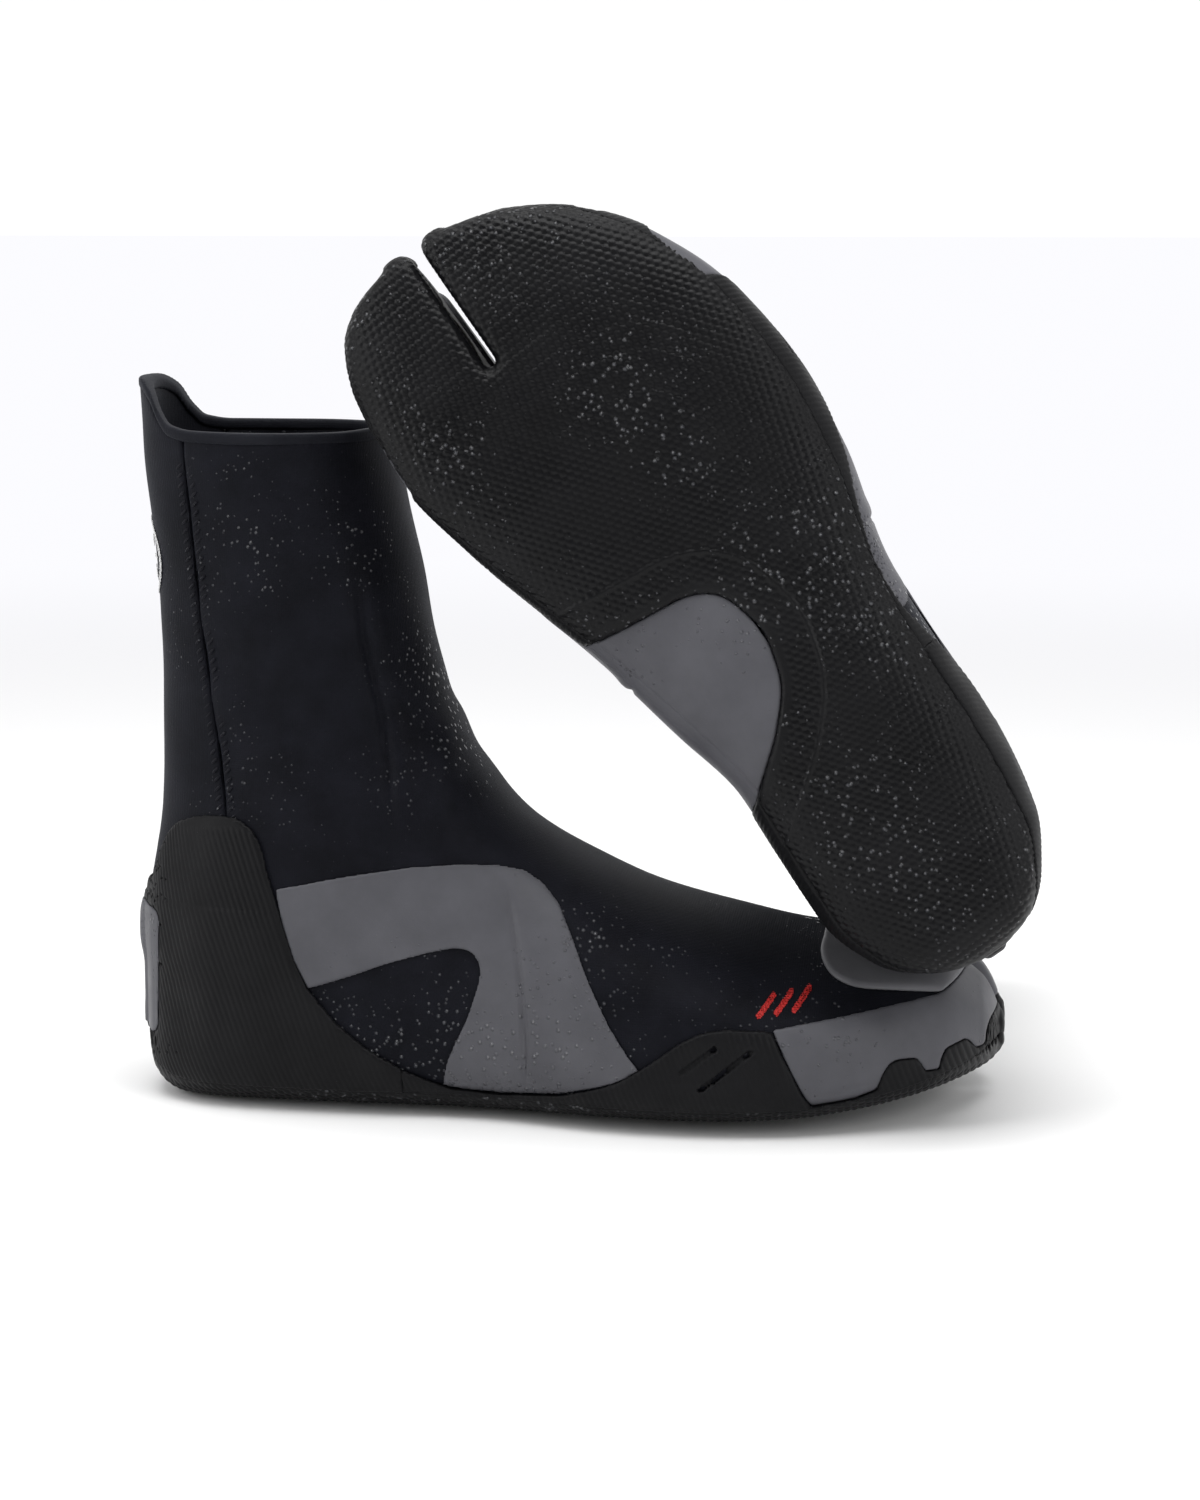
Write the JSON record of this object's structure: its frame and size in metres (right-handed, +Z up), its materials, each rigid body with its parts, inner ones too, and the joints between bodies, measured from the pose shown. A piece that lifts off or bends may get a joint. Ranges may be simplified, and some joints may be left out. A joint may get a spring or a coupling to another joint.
{
  "type": "pair of split-toe neoprene surf boots",
  "caption": "Pair of ankle-high split-toe neoprene surf boots, one standing on its rubber sole and the other leaning on it with its sole turned outwards.",
  "frame": {"origin": "on the ground under the right boot's ankle", "axes": "+X from the right boot's heel to its toes, +Y towards its inner side, +Z up"},
  "size_m": [0.3013, 0.2429, 0.2958],
  "materials": {
    "neoprene": "matt black jersey over neoprene foam, with a fine knit",
    "sole_rubber": "matt black moulded rubber with small scales",
    "rand_rubber": "matt black rubber with fine moulded ribs",
    "grey_print": "smooth mid-grey rubber film bonded to the neoprene",
    "red_print": "red rubber print",
    "white_print": "white rubber print",
    "binding": "black knitted tape and stitching",
    "footbed": "dark foam footbed with a brushed face"
  },
  "bodies": {
    "right_foot": {"right_outsole": "sole_rubber", "right_heel_counter": "rand_rubber", "right_heel_patch": "grey_print", "right_outer_rand": "rand_rubber", "right_inner_rand": "rand_rubber", "right_small_toe_rand": "rand_rubber", "right_big_toe_rand": "rand_rubber", "right_outer_arch_panel": "grey_print", "right_inner_arch_panel": "grey_print", "right_arch_cover": "grey_print", "right_small_toe_panel": "grey_print", "right_big_toe_panel": "grey_print", "right_toe_top_patch": "grey_print", "right_toe_mark": "red_print", "right_foot_bottom": "neoprene", "right_heel_upper": "neoprene", "right_toe_upper": "neoprene", "right_toe_divider": "neoprene", "right_insole": "footbed", "right_ankle_zone": "neoprene"},
    "right_cuff": {"right_cuff_front_panel": "neoprene", "right_cuff_back_panel": "neoprene", "right_cuff_hem": "binding", "right_seam_tapes": "binding", "right_cuff_mark": "white_print"},
    "left_foot": {"left_outsole": "sole_rubber", "left_heel_counter": "rand_rubber", "left_heel_patch": "grey_print", "left_outer_rand": "rand_rubber", "left_inner_rand": "rand_rubber", "left_small_toe_rand": "rand_rubber", "left_big_toe_rand": "rand_rubber", "left_outer_arch_panel": "grey_print", "left_inner_arch_panel": "grey_print", "left_arch_cover": "grey_print", "left_small_toe_panel": "grey_print", "left_big_toe_panel": "grey_print", "left_toe_top_patch": "grey_print", "left_toe_mark": "red_print", "left_foot_bottom": "neoprene", "left_heel_upper": "neoprene", "left_toe_upper": "neoprene", "left_toe_divider": "neoprene", "left_insole": "footbed", "left_ankle_zone": "neoprene"},
    "left_cuff": {"left_cuff_front_panel": "neoprene", "left_cuff_back_panel": "neoprene", "left_cuff_hem": "binding", "left_seam_tapes": "binding", "left_cuff_mark": "white_print"}
  },
  "joints": [
    {"name": "left_boot_lift", "type": "slide", "parent": "right_foot", "child": "left_foot", "axis": [0, 0, 1], "range_m": [0, 0.2]},
    {"name": "right_ankle_flex", "type": "hinge", "parent": "right_foot", "child": "right_cuff", "pos_m": [0, 0, 0.105], "axis": [0, 1, 0], "range_deg": [-16, 0], "stiffness_Nm_per_rad": 4, "deforming": ["right_ankle_zone"]},
    {"name": "left_ankle_flex", "type": "hinge", "parent": "left_foot", "child": "left_cuff", "pos_m": [0.17963, 0.04374, 0.10785], "axis": [0.807, 0.0698, 0.5864], "range_deg": [-16, 16], "stiffness_Nm_per_rad": 4, "deforming": ["left_ankle_zone"]}
  ]
}
